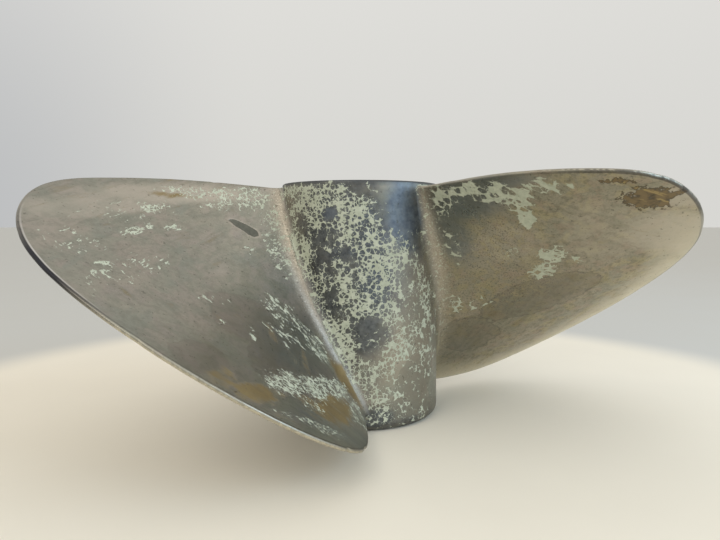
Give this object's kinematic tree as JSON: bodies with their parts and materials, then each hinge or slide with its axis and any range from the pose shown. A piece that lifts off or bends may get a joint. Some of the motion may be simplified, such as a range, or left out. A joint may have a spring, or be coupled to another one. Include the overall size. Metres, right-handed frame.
{
  "type": "ship propeller",
  "caption": "One-piece cast bronze ship propeller, left-handed, with wide raked blades and a long cylindrical hub bored for a keyed tapered shaft.",
  "frame": {"origin": "centre of mass of the casting, on the shaft axis, 98.6 mm above the hub's forward face", "axes": "+Z along the shaft axis from the forward face, which it stands on, to the aft face; +X to the right and +Y away from the camera in the picture"},
  "size_m": [0.4544, 0.4494, 0.1894],
  "materials": {
    "bronze": "worn cast propeller bronze, tarnished grey, with flakes of old pale green paint"
  },
  "bodies": {
    "root": {"propeller": "bronze"}
  },
  "joints": []
}
